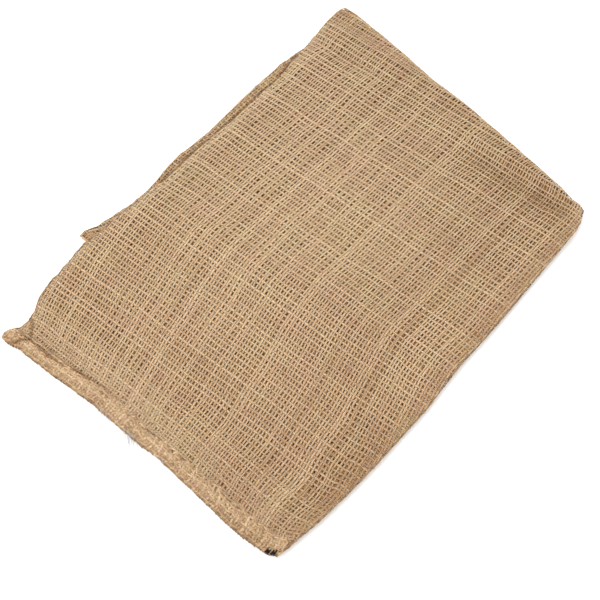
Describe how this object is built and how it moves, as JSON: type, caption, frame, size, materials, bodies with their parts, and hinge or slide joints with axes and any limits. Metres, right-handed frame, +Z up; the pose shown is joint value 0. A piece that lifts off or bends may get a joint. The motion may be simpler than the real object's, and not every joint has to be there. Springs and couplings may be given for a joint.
{
  "type": "jute sack",
  "caption": "Open-weave jute sack, empty and pressed flat, folded once across, with a hemmed open mouth and a sewn bottom end.",
  "frame": {"origin": "middle of the base, on the surface that the folded sack lies on", "axes": "+X from the hemmed mouth to the fold, +Y across the sack to the side with the seam, +Z up"},
  "size_m": [0.4806, 0.3518, 0.014],
  "materials": {
    "jute_cloth": "undyed plain-woven jute, matt, straw tan, open weave with slubby yarns"
  },
  "bodies": {
    "root": {"sack_cloth": "jute_cloth"}
  },
  "joints": []
}
